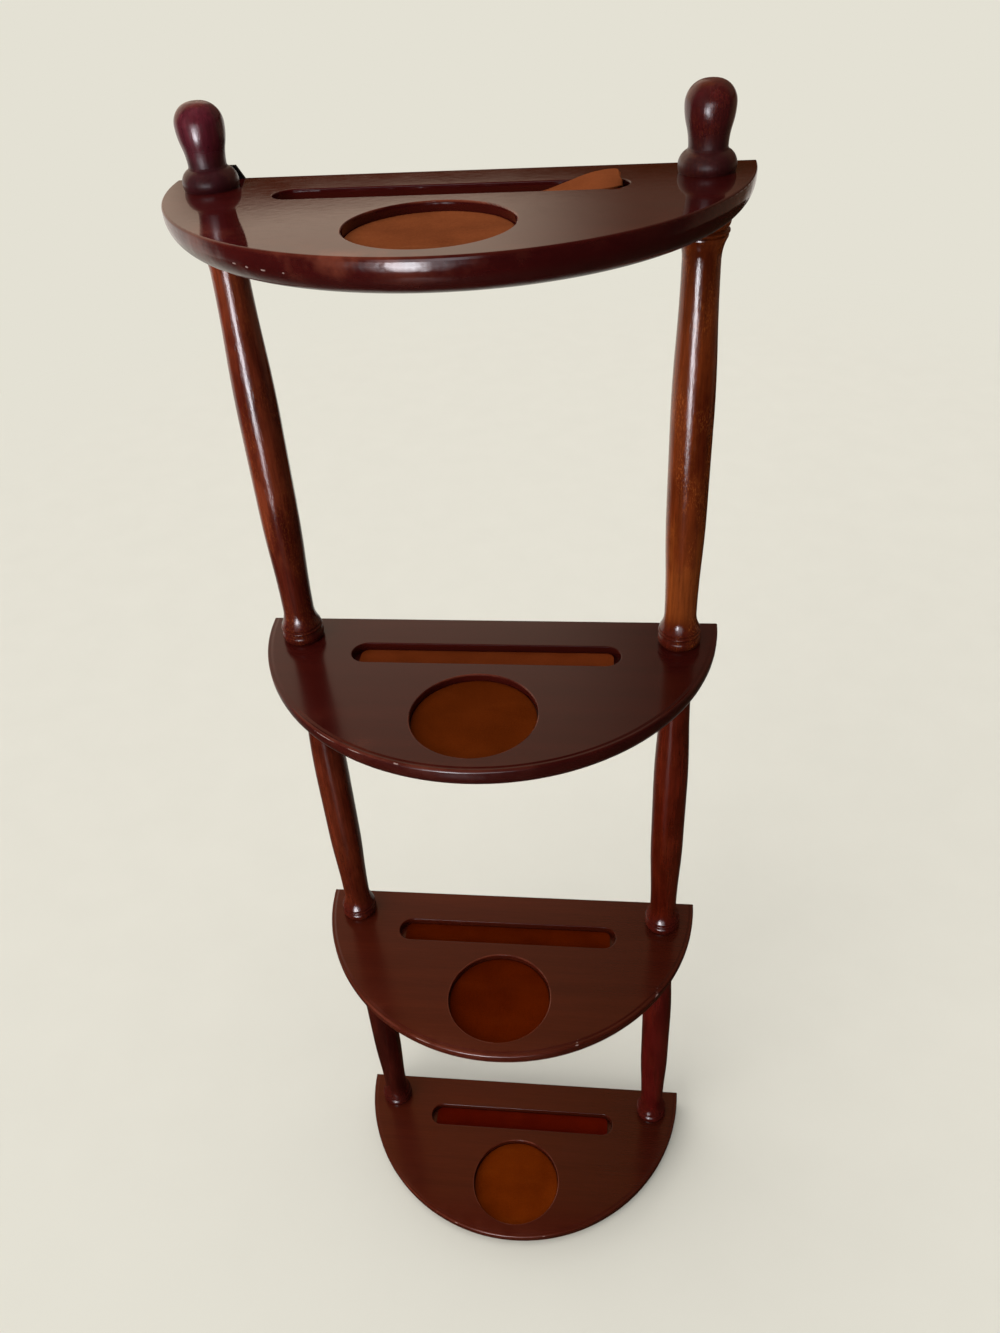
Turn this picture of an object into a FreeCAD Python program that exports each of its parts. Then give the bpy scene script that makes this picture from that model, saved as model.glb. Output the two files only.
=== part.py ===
"""A wall shelf for cups and saucers: four half-round shelves on turned spindles, with two finials.

Millimetres. +Z is up, +X is to the right seen from the front, and the wall is on the +Y side.
The origin is in the middle of the shelf's plan, on the surface that the bottom shelf stands on.
"""
import FreeCAD, Part
import math
import os

import Sketcher

SIZES = {
    # Shelves, as half-round boards
    "shelf_radius": 114.0,
    "shelf_thickness": 14.0,
    "shelf_spacing": 213.5,
    "under_round": 11.2,
    "arris_round": 0.8,
    "rim_round": 0.5,
    # The row of features from the back edge to the front edge
    "back_margin": 21.0,
    "groove_width": 15.5,
    "groove_to_recess": 8.5,
    "recess_diameter": 59.0,
    "front_margin": 8.5,
    "groove_length": 133.0,
    "groove_depth": 5.0,
    "recess_depth": 4.6,
    # Liners glued in the grooves and recesses
    "liner_thickness": 1.0,
    "liner_gap": 0.3,
    "strip_end_gap": 3.5,
    "strip_corner": 4.0,
    "lifted_run": 33.0,
    "lifted_rise": 6.0,
    # Spindle places
    "spindle_inset": 19.5,
    "finial_wall_gap": 4.2,
    # Spindle turning
    "foot_diameter": 21.0,
    "foot_height": 5.2,
    "foot_swell": 0.9,
    "quirk_width": 0.8,
    "quirk_depth": 0.6,
    "ring_diameter": 20.6,
    "ring_height": 1.4,
    "ring_swell": 0.4,
    "lip_diameter": 19.6,
    "lip_height": 0.5,
    "lower_neck_diameter": 15.3,
    "lower_neck_height": 17.0,
    "lower_belly_diameter": 18.2,
    "upper_belly_diameter": 18.5,
    "upper_neck_diameter": 15.2,
    "upper_neck_drop": 17.0,
    "lower_belly_share": 0.355,
    "upper_belly_share": 0.605,
    # Finial turning
    "finial_base_diameter": 21.6,
    "finial_foot_diameter": 20.6,
    "finial_foot_height": 2.4,
    "finial_crown_height": 5.0,
    "finial_quirk_height": 0.8,
    "finial_quirk_depth": 0.4,
    "finial_neck_diameter": 14.5,
    "knob_diameter": 18.6,
    "knob_rise": 14.2,
    "knob_round": 7.8,
    # Studs and the screws under the bottom shelf
    "stud_diameter": 6.0,
    "stud_grip": 18.0,
    "stud_chamfer": 0.8,
    "tip_gap": 0.8,
    "thread_gap": 0.1,
    "screw_head_height": 2.8,
    "screw_head_sink": 0.3,
    "screw_slot_width": 1.2,
    # Hangers on the back edge of the top shelf
    "hanger_width": 18.0,
    "hanger_top_width": 12.0,
    "hanger_rise": 5.0,
    "hanger_drop": 10.0,
    "hanger_thickness": 1.2,
    "hanger_gap": 0.2,
    "hang_hole_diameter": 3.2,
    "hanger_screw_inset": 3.5,
    "hanger_screw_diameter": 2.4,
    "hanger_screw_grip": 10.0,
    "hanger_head_share": 0.75,
    "hanger_slot_width": 0.6,
}


class Size:
    """A length worked out from the sheet: its number now, and the formula that keeps it tied."""

    def __init__(self, number, formula):
        self.number = number
        self.formula = formula

    def __add__(self, other):
        other = as_size(other)
        return Size(self.number + other.number, f"({self.formula} + {other.formula})")

    def __sub__(self, other):
        other = as_size(other)
        return Size(self.number - other.number, f"({self.formula} - {other.formula})")

    def __mul__(self, other):
        other = as_size(other)
        return Size(self.number * other.number, f"({self.formula} * {other.formula})")

    def __truediv__(self, other):
        other = as_size(other)
        return Size(self.number / other.number, f"({self.formula} / {other.formula})")

    def __radd__(self, other):
        return as_size(other) + self

    def __rsub__(self, other):
        return as_size(other) - self

    def __rmul__(self, other):
        return as_size(other) * self

    def __neg__(self):
        return as_size(0.0) - self

    def root(self):
        return Size(math.sqrt(self.number), f"sqrt({self.formula})")

    def __abs__(self):
        return Size(abs(self.number), f"abs({self.formula})")

    def at_most(self, other):
        return Size(min(self.number, other.number), f"min({self.formula}; {other.formula})")


def as_size(value):
    return value if isinstance(value, Size) else Size(float(value), repr(float(value)))


def write_sheet(document):
    """Put every driving size in the sheet under its own name, and return the names as sizes."""
    sheet = document.addObject("Spreadsheet::Sheet", "Sizes")
    for row, (name, number) in enumerate(SIZES.items(), start=1):
        sheet.set(f"A{row}", name)
        sheet.set(f"B{row}", str(number))
        sheet.setAlias(f"B{row}", name)
    document.recompute()
    return {name: Size(float(sheet.get(name)), f"Sizes.{name}") for name in SIZES}


doc = FreeCAD.newDocument("wall_shelf")
S = write_sheet(doc)
ZERO = as_size(0.0)

# The plan of one shelf, from its back edge to its front edge
shelf_depth = (
    S["back_margin"] + S["groove_width"] + S["groove_to_recess"] + S["recess_diameter"] + S["front_margin"]
)
back_y = shelf_depth / 2
front_y = -back_y
shelf_half_width = (shelf_depth * (2 * S["shelf_radius"] - shelf_depth)).root()
groove_y = back_y - S["back_margin"] - S["groove_width"] / 2
recess_y = front_y + S["front_margin"] + S["recess_diameter"] / 2

# The spindles' axes: the finial's base stands clear of the wall
spindle_x = S["shelf_radius"] - S["spindle_inset"]
spindle_y = back_y - S["finial_wall_gap"] - S["finial_base_diameter"] / 2
spindle_length = S["shelf_spacing"] - S["shelf_thickness"]

# Holes that take the studs
stud_radius = S["stud_diameter"] / 2
stud_hole_radius = stud_radius + S["thread_gap"]
stud_hole_depth = S["stud_grip"] + S["tip_gap"]

# Liners
pad_radius = S["recess_diameter"] / 2 - S["liner_gap"]
strip_half_width = S["groove_width"] / 2 - S["liner_gap"]
strip_half_length = S["groove_length"] / 2 - S["strip_end_gap"]

# Hanger screws
hanger_screw_radius = S["hanger_screw_diameter"] / 2
hanger_hole_radius = hanger_screw_radius + S["thread_gap"]
hanger_screw_x = S["hanger_width"] / 2 - S["hanger_screw_inset"]
hanger_screw_z = S["shelf_thickness"] - S["hanger_drop"] / 2
hanger_head_height = S["hanger_thickness"] * S["hanger_head_share"]

# A fillet can take no more than these shares of the wall that it rounds
UNDER_ROUND_LIMIT = 0.84
ARRIS_LIMIT = 0.1
CORNER_LIMIT = 0.95

# Places closer than this are the same place
NEAR = 1e-4

LEVELS = ("bottom", "third", "second", "top")
BOTTOM, TOP = 0, 3
SIDES = (("left", -1.0), ("right", 1.0))
nodes = []


def shelf_z(level):
    """The underside of a shelf, counted up from the bottom one."""
    return level * S["shelf_spacing"]


def bind(item, place, size):
    item.setExpression(place, as_size(size).formula)


def new_body(label):
    body = doc.addObject("PartDesign::Body", label)
    body.Label = label
    nodes.append(body)
    return body


def put(body, x, y, z):
    for axis, size in zip("xyz", (x, y, z)):
        bind(body, f"Placement.Base.{axis}", size)


def new_sketch(body, plane, lift=ZERO):
    """A sketch on one of the body's own planes, moved along the plane's normal by a size."""
    sketch = body.newObject("Sketcher::SketchObject", f"{body.Name}_sketch")
    origin_plane = next(item for item in body.Origin.OriginFeatures if item.Role == plane)
    sketch.AttachmentSupport = (origin_plane, [""])
    sketch.MapMode = "FlatFace"
    bind(sketch, "AttachmentOffset.Base.z", lift)
    return sketch


def tie(sketch, kind, size, *where):
    """A driving dimension of a sketch, tied to the sheet."""
    number = sketch.addConstraint(Sketcher.Constraint(kind, *where, size.number))
    bind(sketch, f"Constraints[{number}]", size)


def tie_point(sketch, piece, end, x, y):
    tie(sketch, "DistanceX", x, -1, 1, piece, end)
    tie(sketch, "DistanceY", y, -1, 1, piece, end)


def circle(sketch, x, y, radius):
    x, y, radius = as_size(x), as_size(y), as_size(radius)
    centre = FreeCAD.Vector(x.number, y.number, 0)
    piece = sketch.addGeometry(Part.Circle(centre, FreeCAD.Vector(0, 0, 1), radius.number))
    tie_point(sketch, piece, 3, x, y)
    tie(sketch, "Radius", radius, piece)


def outline(sketch, steps):
    """A closed outline. Each step is x, y and the arc that leaves it, or None for a straight line.

    An arc is its radius and its bulge, counted to the right of the way that the outline runs.
    """
    points = [FreeCAD.Vector(as_size(x).number, as_size(y).number, 0) for x, y, arc in steps]
    pieces = []
    for index, (x, y, arc) in enumerate(steps):
        begin, end = points[index], points[(index + 1) % len(points)]
        if arc is None:
            piece = sketch.addGeometry(Part.LineSegment(begin, end))
        else:
            radius, bulge = arc
            along = (end - begin).normalize()
            middle = (begin + end) * 0.5 + FreeCAD.Vector(along.y, -along.x, 0) * bulge
            piece = sketch.addGeometry(Part.Arc(begin, middle, end))
            tie(sketch, "Radius", radius, piece)
        first = 1 if sketch.getPoint(piece, 1).isEqual(begin, NEAR) else 2
        pieces.append((piece, first))
    for index, (x, y, arc) in enumerate(steps):
        piece, first = pieces[index]
        following, following_first = pieces[(index + 1) % len(pieces)]
        tie_point(sketch, piece, first, as_size(x), as_size(y))
        sketch.addConstraint(Sketcher.Constraint("Coincident", piece, 3 - first, following, following_first))


def bulge_of(radius, across, along):
    """How far an arc of this radius stands off its chord."""
    half_chord = math.hypot(across.number, along.number) / 2
    return radius.number - math.sqrt(radius.number ** 2 - half_chord ** 2)


def bead(height, swell):
    """An arc that stands out by a swell in the middle of its height."""
    return (height * height + 4 * swell * swell) / (8 * swell), swell.number


def sweep(across, along, turn):
    """An arc that runs along the axis at one of its ends. Turn is 1 for a round and -1 for a cove."""
    radius = (across * across + along * along) / (2 * abs(across))
    return radius, turn * bulge_of(radius, across, along)


def swell(x, y, end_x, end_y):
    """A long S-curve of two equal arcs, along the axis at both ends, as steps of an outline."""
    across, along = (end_x - x) / 2, (end_y - y) / 2
    radius = (across * across + along * along) / (2 * abs(across))
    bulge = math.copysign(bulge_of(radius, across, along), across.number)
    return [(x, y, (radius, -bulge)), (x + across, y + along, (radius, bulge))]


def pad(body, sketch, length, both_ways=False):
    feature = body.newObject("PartDesign::Pad", f"{body.Name}_pad")
    feature.Profile = sketch
    feature.Midplane = both_ways
    bind(feature, "Length", length)
    doc.recompute()
    return feature


def pocket(body, sketch, depth, along_normal=False):
    """Cut a sketch into the body, against its plane's normal or along it, and see that it cut."""
    doc.recompute()
    volume = body.Shape.Volume
    feature = body.newObject("PartDesign::Pocket", f"{body.Name}_pocket")
    feature.Profile = sketch
    feature.Reversed = along_normal
    bind(feature, "Length", depth)
    doc.recompute()
    if body.Shape.Volume >= volume:
        raise RuntimeError(f"{feature.Name} cut nothing: {feature.State}, sketch {sketch.State}")
    return feature


def turn(body, sketch):
    feature = body.newObject("PartDesign::Revolution", f"{body.Name}_turning")
    feature.Profile = sketch
    feature.ReferenceAxis = (sketch, ["V_Axis"])
    feature.Angle = 360.0
    doc.recompute()
    return feature


def dress(body, kind, size_name, size, wanted):
    """Round or chamfer the edges of the body that pass a test."""
    base = body.Tip
    edges = [f"Edge{number}" for number, edge in enumerate(base.Shape.Edges, start=1) if wanted(edge)]
    if not edges:
        raise RuntimeError(f"{body.Label} has no edge to dress")
    feature = body.newObject(f"PartDesign::{kind}", f"{body.Name}_{kind.lower()}")
    feature.Base = (base, edges)
    bind(feature, size_name, size)
    doc.recompute()
    return feature


def is_arc(edge, radius):
    return isinstance(edge.Curve, Part.Circle) and abs(edge.Curve.Radius - radius.number) < NEAR


def at_height(edge, height):
    box = edge.BoundBox
    return abs(box.ZMin - height.number) < NEAR and abs(box.ZMax - height.number) < NEAR


def box_plan(x, y, end_x, end_y):
    return [(x, y, None), (end_x, y, None), (end_x, end_y, None), (x, end_y, None)]


def quarter(radius):
    """A quarter circle, as an arc of an outline."""
    return radius, radius.number * (1 - math.sqrt(0.5))


def groove_plan():
    """The plan of a saucer groove, with half-round ends."""
    half_length, half_width = S["groove_length"] / 2, S["groove_width"] / 2
    straight = half_length - half_width
    return [
        (-straight, groove_y - half_width, None),
        (straight, groove_y - half_width, quarter(half_width)),
        (half_length, groove_y, quarter(half_width)),
        (straight, groove_y + half_width, None),
        (-straight, groove_y + half_width, quarter(half_width)),
        (-half_length, groove_y, quarter(half_width)),
    ]


def shelf_board(level):
    """A half-round board with its edge rounded under, a saucer groove, a cup recess and stud holes."""
    body = new_body(f"{LEVELS[level]}_shelf")
    top = S["shelf_thickness"]
    plan = new_sketch(body, "XY_Plane")
    front_arc = (S["shelf_radius"], shelf_depth.number)
    outline(plan, [(shelf_half_width, back_y, None), (-shelf_half_width, back_y, front_arc)])
    pad(body, plan, top)
    for height, size, limit in ((ZERO, "under_round", UNDER_ROUND_LIMIT), (top, "arris_round", ARRIS_LIMIT)):
        edge_round = S[size].at_most(top * limit)
        dress(body, "Fillet", "Radius", edge_round, lambda edge: is_front_edge(edge, height))

    groove = new_sketch(body, "XY_Plane", top)
    outline(groove, groove_plan())
    pocket(body, groove, S["groove_depth"])
    recess = new_sketch(body, "XY_Plane", top)
    circle(recess, 0, recess_y, S["recess_diameter"] / 2)
    pocket(body, recess, S["recess_depth"])
    dress(body, "Fillet", "Radius", S["rim_round"], lambda edge: is_rim(edge, top))

    holes = new_sketch(body, "XY_Plane", top)
    for side, sign in SIDES:
        circle(holes, sign * spindle_x, spindle_y, stud_hole_radius)
    pocket(body, holes, top)
    put(body, ZERO, ZERO, shelf_z(level))
    return body


def is_front_edge(edge, height):
    return is_arc(edge, S["shelf_radius"]) and at_height(edge, height)


def is_rim(edge, top):
    """The upper edges of the groove and the recess: those that don't reach the shelf's back edge."""
    return at_height(edge, top) and edge.BoundBox.YMax < back_y.number - NEAR


def countersink_below(body):
    """Open the stud holes of the bottom shelf for the heads of the screws that come up through it."""
    cone = S["screw_head_height"] + S["screw_head_sink"]

    def is_lower_rim(edge):
        return is_arc(edge, stud_hole_radius) and at_height(edge, ZERO)

    dress(body, "Chamfer", "Size", cone, is_lower_rim)


def notch_for_hangers(body):
    """Let the hangers into the back edge of the top shelf, and bore the holes for their screws."""
    half_width = S["hanger_width"] / 2 + S["hanger_gap"]
    top = S["shelf_thickness"]
    inner_y = back_y - S["hanger_thickness"]
    notches = new_sketch(body, "XY_Plane", top)
    for side, sign in SIDES:
        centre = sign * spindle_x
        outline(notches, box_plan(centre - half_width, inner_y, centre + half_width, back_y))
    pocket(body, notches, S["hanger_drop"])
    holes = new_sketch(body, "XZ_Plane", -inner_y)
    for side, sign in SIDES:
        for way in (-1.0, 1.0):
            circle(holes, sign * spindle_x + way * hanger_screw_x, hanger_screw_z, hanger_hole_radius)
    pocket(body, holes, S["hanger_screw_grip"] + S["tip_gap"], along_normal=True)


def cup_pad(level):
    """A round liner glued to the floor of a cup recess."""
    body = new_body(f"{LEVELS[level]}_cup_pad")
    plan = new_sketch(body, "XY_Plane")
    circle(plan, 0, 0, pad_radius)
    pad(body, plan, S["liner_thickness"])
    put(body, ZERO, recess_y, shelf_z(level) + S["shelf_thickness"] - S["recess_depth"])


def saucer_strip(level):
    """A liner strip with rounded corners, glued flat to the floor of a saucer groove."""
    body = new_body(f"{LEVELS[level]}_saucer_strip")
    plan = new_sketch(body, "XY_Plane")
    outline(plan, box_plan(-strip_half_length, -strip_half_width, strip_half_length, strip_half_width))
    pad(body, plan, S["liner_thickness"])
    finish_strip(body, level)


def loose_saucer_strip(level):
    """A liner strip that has come loose at its right end, which rises out of the groove in an S."""
    body = new_body(f"{LEVELS[level]}_saucer_strip")
    thick = S["liner_thickness"]
    bend_x = strip_half_length - S["lifted_run"]
    half_run, half_rise = S["lifted_run"] / 2, S["lifted_rise"] / 2
    radius = (half_run * half_run + half_rise * half_rise) / (2 * half_rise)
    outer, inner = radius + thick, radius - thick
    # The strip's slope where the two bends meet
    slope_sine, slope_cosine = half_run / radius, 1.0 - half_rise / radius
    middle_x, middle_z = bend_x + half_run, half_rise
    share = bulge_of(radius, half_run, half_rise) / radius.number
    side = new_sketch(body, "XZ_Plane")
    outline(side, [
        (-strip_half_length, ZERO, None),
        (bend_x, ZERO, (radius, share * radius.number)),
        (middle_x, middle_z, (radius, -share * radius.number)),
        (strip_half_length, S["lifted_rise"], None),
        (strip_half_length, S["lifted_rise"] + thick, (outer, share * outer.number)),
        (middle_x - thick * slope_sine, middle_z + thick * slope_cosine, (inner, -share * inner.number)),
        (bend_x, thick, None),
        (-strip_half_length, thick, None),
    ])
    pad(body, side, 2 * strip_half_width, both_ways=True)
    finish_strip(body, level)


def finish_strip(body, level):
    """Round the corners of a strip and lay it in its groove."""
    def is_corner(edge):
        box = edge.BoundBox
        upright = box.ZLength > NEAR and max(box.XLength, box.YLength) < NEAR
        return upright and abs(abs(box.XMin) - strip_half_length.number) < NEAR

    dress(body, "Fillet", "Radius", S["strip_corner"].at_most(strip_half_width * CORNER_LIMIT), is_corner)
    put(body, ZERO, groove_y, shelf_z(level) + S["shelf_thickness"] - S["groove_depth"])


def spindle_steps():
    """The outside of a spindle from its foot to its head: a bead, a ring and a lip at each end, with a
    quirk between each two, and a long swelling shaft between two necks."""
    length = spindle_length
    bead_radius = S["foot_diameter"] / 2 - S["foot_swell"]
    ring_radius = S["ring_diameter"] / 2 - S["ring_swell"]
    lip_radius = S["lip_diameter"] / 2
    quirk_radius = ring_radius - S["quirk_depth"]
    half_quirk = S["quirk_width"] / 2
    first_z = S["foot_height"] + half_quirk
    ring_z = first_z + half_quirk
    second_z = ring_z + S["ring_height"] + half_quirk
    lip_z = second_z + half_quirk
    cove_z = lip_z + S["lip_height"]
    foot_bead = bead(S["foot_height"], S["foot_swell"])
    ring_bead = bead(S["ring_height"], S["ring_swell"])
    low_neck, low_neck_z = S["lower_neck_diameter"] / 2, S["lower_neck_height"]
    high_neck, high_neck_z = S["upper_neck_diameter"] / 2, length - S["upper_neck_drop"]
    shaft = high_neck_z - low_neck_z
    low_belly, low_belly_z = S["lower_belly_diameter"] / 2, low_neck_z + shaft * S["lower_belly_share"]
    high_belly, high_belly_z = S["upper_belly_diameter"] / 2, low_neck_z + shaft * S["upper_belly_share"]
    steps = [
        (bead_radius, ZERO, foot_bead),
        (bead_radius, S["foot_height"], None),
        (quirk_radius, first_z, None),
        (ring_radius, ring_z, ring_bead),
        (ring_radius, ring_z + S["ring_height"], None),
        (quirk_radius, second_z, None),
        (lip_radius, lip_z, None),
        (lip_radius, cove_z, sweep(lip_radius - low_neck, low_neck_z - cove_z, -1)),
    ]
    steps += swell(low_neck, low_neck_z, low_belly, low_belly_z)
    steps += [(low_belly, low_belly_z, None)]
    steps += swell(high_belly, high_belly_z, high_neck, high_neck_z)
    steps += [
        (high_neck, high_neck_z, sweep(lip_radius - high_neck, length - cove_z - high_neck_z, -1)),
        (lip_radius, length - cove_z, None),
        (lip_radius, length - lip_z, None),
        (quirk_radius, length - second_z, None),
        (ring_radius, length - ring_z - S["ring_height"], ring_bead),
        (ring_radius, length - ring_z, None),
        (quirk_radius, length - first_z, None),
        (bead_radius, length - S["foot_height"], foot_bead),
        (bead_radius, length, None),
    ]
    return steps


def spindle(label, x, level):
    """A turned spindle, bored at both ends for a stud, standing on the shelf of its level."""
    body = new_body(label)
    profile = new_sketch(body, "XZ_Plane")
    top_bore = spindle_length - stud_hole_depth
    bores = [
        (stud_hole_radius, spindle_length, None),
        (stud_hole_radius, top_bore, None),
        (ZERO, top_bore, None),
        (ZERO, stud_hole_depth, None),
        (stud_hole_radius, stud_hole_depth, None),
        (stud_hole_radius, ZERO, None),
    ]
    outline(profile, spindle_steps() + bores)
    turn(body, profile)
    put(body, x, spindle_y, shelf_z(level) + S["shelf_thickness"])


def finial(label, x):
    """A turned finial: a round base, a quirk and a knob that swells to a rounded top."""
    body = new_body(label)
    foot, base = S["finial_foot_diameter"] / 2, S["finial_base_diameter"] / 2
    neck, knob = S["finial_neck_diameter"] / 2, S["knob_diameter"] / 2
    shoulder = neck + S["finial_quirk_depth"]
    base_z = S["finial_foot_height"]
    crown_z = base_z + S["finial_crown_height"]
    neck_z = crown_z + S["finial_quirk_height"]
    knob_z = neck_z + S["knob_rise"]
    top_z = knob_z + S["knob_round"]
    profile = new_sketch(body, "XZ_Plane")
    steps = [
        (foot, ZERO, sweep(base - foot, base_z, 1)),
        (base, base_z, sweep(base - shoulder, S["finial_crown_height"], 1)),
        (shoulder, crown_z, None),
    ]
    steps += swell(neck, neck_z, knob, knob_z)
    steps += [
        (knob, knob_z, quarter(S["knob_round"])),
        (knob - S["knob_round"], top_z, None),
        (ZERO, top_z, None),
        (ZERO, stud_hole_depth, None),
        (stud_hole_radius, stud_hole_depth, None),
        (stud_hole_radius, ZERO, None),
    ]
    outline(profile, steps)
    turn(body, profile)
    put(body, x, spindle_y, shelf_z(TOP) + S["shelf_thickness"])


def stud(label, x, level):
    """A double-ended stud through a shelf, gripped by the turned pieces above and below it."""
    body = new_body(label)
    length = S["shelf_thickness"] + 2 * S["stud_grip"]
    chamfer = S["stud_chamfer"]
    profile = new_sketch(body, "XZ_Plane")
    outline(profile, [
        (ZERO, ZERO, None),
        (stud_radius - chamfer, ZERO, None),
        (stud_radius, chamfer, None),
        (stud_radius, length - chamfer, None),
        (stud_radius - chamfer, length, None),
        (ZERO, length, None),
    ])
    turn(body, profile)
    put(body, x, spindle_y, shelf_z(level) - S["stud_grip"])


def screw(label, radius, head_height, length, slot_width):
    """A slotted countersunk screw, head down, with its head's face at zero height."""
    body = new_body(label)
    head_radius = radius + head_height
    profile = new_sketch(body, "XZ_Plane")
    outline(profile, [
        (ZERO, ZERO, None),
        (head_radius, ZERO, None),
        (radius, head_height, None),
        (radius, length - radius, None),
        (ZERO, length, None),
    ])
    turn(body, profile)
    slot_end, slot_side = head_radius + slot_width, slot_width / 2
    slot = new_sketch(body, "XY_Plane")
    outline(slot, box_plan(-slot_end, -slot_side, slot_end, slot_side))
    pocket(body, slot, head_height / 2, along_normal=True)
    return body


def bottom_screw(label, x):
    """A screw up through the bottom shelf into the lowest spindle."""
    sink = S["screw_head_sink"]
    length = S["shelf_thickness"] - sink + S["stud_grip"]
    body = screw(label, stud_radius, S["screw_head_height"], length, S["screw_slot_width"])
    put(body, x, spindle_y, sink)


def hanger(label, x):
    """A steel plate let into the back edge of the top shelf, with a tab that stands up behind a finial."""
    body = new_body(label)
    half_width, half_top = S["hanger_width"] / 2, S["hanger_top_width"] / 2
    shelf_top = S["shelf_thickness"]
    tab_top = shelf_top + S["hanger_rise"]
    foot_z = shelf_top - S["hanger_drop"]
    face = new_sketch(body, "XZ_Plane", -back_y)
    outline(face, [
        (-half_width, foot_z, None),
        (half_width, foot_z, None),
        (half_width, shelf_top, None),
        (half_top, tab_top, None),
        (-half_top, tab_top, None),
        (-half_width, shelf_top, None),
    ])
    circle(face, 0, shelf_top + S["hanger_rise"] / 2, S["hang_hole_diameter"] / 2)
    for way in (-1.0, 1.0):
        circle(face, way * hanger_screw_x, hanger_screw_z, hanger_hole_radius)
    pad(body, face, S["hanger_thickness"])

    def is_screw_rim(edge):
        return is_arc(edge, hanger_hole_radius) and abs(edge.BoundBox.YMin - back_y.number) < NEAR

    dress(body, "Chamfer", "Size", hanger_head_height, is_screw_rim)
    put(body, x, ZERO, shelf_z(TOP))


def hanger_screw(label, x):
    """A small screw forward through a hanger into the shelf's back edge."""
    length = S["hanger_thickness"] + S["hanger_screw_grip"]
    body = screw(label, hanger_screw_radius, hanger_head_height, length, S["hanger_slot_width"])
    body.Placement.Rotation = FreeCAD.Rotation(FreeCAD.Vector(1, 0, 0), 90)
    put(body, x, back_y, shelf_z(TOP) + hanger_screw_z)


def build():
    """Make every piece, level by level and side by side."""
    for level in range(len(LEVELS)):
        board = shelf_board(level)
        cup_pad(level)
        if level == BOTTOM:
            countersink_below(board)
        if level == TOP:
            notch_for_hangers(board)
            loose_saucer_strip(level)
        else:
            saucer_strip(level)
    for side, sign in SIDES:
        x = sign * spindle_x
        for level, name in enumerate(("bottom", "middle", "top")):
            spindle(f"{name}_{side}_spindle", x, level)
        for level in range(1, len(LEVELS)):
            stud(f"{LEVELS[level]}_{side}_stud", x, level)
        finial(f"{side}_finial", x)
        bottom_screw(f"bottom_{side}_screw", x)
        hanger(f"{side}_hanger", x)
        hanger_screw(f"{side}_hanger_outer_screw", x + sign * hanger_screw_x)
        hanger_screw(f"{side}_hanger_inner_screw", x - sign * hanger_screw_x)


def check():
    """Stop if any object failed or any piece is not one sound solid."""
    doc.recompute()
    for item in doc.Objects:
        if "Invalid" in item.State or "Error" in item.State:
            raise RuntimeError(f"{item.Name} failed: {item.State}")
    for node in nodes:
        if node.Shape.isNull() or not node.Shape.isValid() or len(node.Shape.Solids) != 1:
            raise RuntimeError(f"{node.Label} is not one sound solid")


def export():
    os.makedirs("parts", exist_ok=True)
    for node in nodes:
        node.Shape.exportStep(f"parts/{node.Label}.step")
        print(f"{node.Label:28s} {node.Shape.Volume:10.1f} mm3")


build()
check()
export()
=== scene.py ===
# %% [markdown]
# # A wall shelf for cups and saucers
#
# This lesson dresses a finished CAD model of a small mahogany wall shelf: four half-round boards on turned
# spindles, with suede liners let into the boards. The shapes are already right, so most of the work is
# in the finishes. Everything is in metres, and the model stands on the floor with the wall side at +Y.

# %% Load the CAD model
import math

import bmesh
import bpy
from mathutils import Matrix, Vector, noise


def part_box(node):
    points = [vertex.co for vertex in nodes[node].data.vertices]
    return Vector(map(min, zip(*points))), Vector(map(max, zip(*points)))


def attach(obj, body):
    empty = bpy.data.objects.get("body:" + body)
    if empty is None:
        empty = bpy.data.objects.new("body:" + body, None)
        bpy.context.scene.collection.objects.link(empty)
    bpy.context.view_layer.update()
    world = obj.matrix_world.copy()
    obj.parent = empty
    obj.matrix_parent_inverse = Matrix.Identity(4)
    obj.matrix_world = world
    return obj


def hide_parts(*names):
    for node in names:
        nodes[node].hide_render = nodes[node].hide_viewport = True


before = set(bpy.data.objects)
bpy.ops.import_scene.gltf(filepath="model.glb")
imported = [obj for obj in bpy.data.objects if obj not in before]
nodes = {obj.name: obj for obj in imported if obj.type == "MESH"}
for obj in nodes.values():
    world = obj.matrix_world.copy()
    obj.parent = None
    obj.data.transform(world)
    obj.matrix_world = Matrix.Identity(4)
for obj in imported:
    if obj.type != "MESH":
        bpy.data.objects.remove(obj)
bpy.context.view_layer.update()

# %% [markdown]
# ## Measures
#
# The finishes need to know where the edges of a board run, so that wear and chips land on them. These
# lengths are read from the model where it shows them, and the few that it doesn't show are written in
# millimetres, because the shaders below count in millimetres too.

# %% Measures of the boards
MM = 1000.0
LEVELS = ("bottom", "third", "second", "top")
board_low, board_high = (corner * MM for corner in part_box("top_shelf"))
BOARD_MM = board_high.z - board_low.z
EDGE_RADIUS_MM = 114.0
edge_centre_y = board_low.y + EDGE_RADIUS_MM
board_tops = {level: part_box(f"{level}_shelf")[1].z * MM for level in LEVELS}
pad_low, pad_high = (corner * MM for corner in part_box("top_cup_pad"))
RECESS_MM = 29.5
recess_y = (pad_low.y + pad_high.y) / 2
print("board", round(BOARD_MM, 2), "mm thick, tops at", {k: round(v, 1) for k, v in board_tops.items()})

# %% [markdown]
# ## Sums in a shader
#
# A shader is a net of nodes, and a sum such as `1 - mask` is a Math node with one link. Adding those by
# hand hides the sum, so a small class wraps an output socket and adds the node when Python meets the
# operator. Everything else goes through one method, which sets a node's settings first, because some
# settings change which sockets the node has. The same class builds materials and the light all round.

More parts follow.
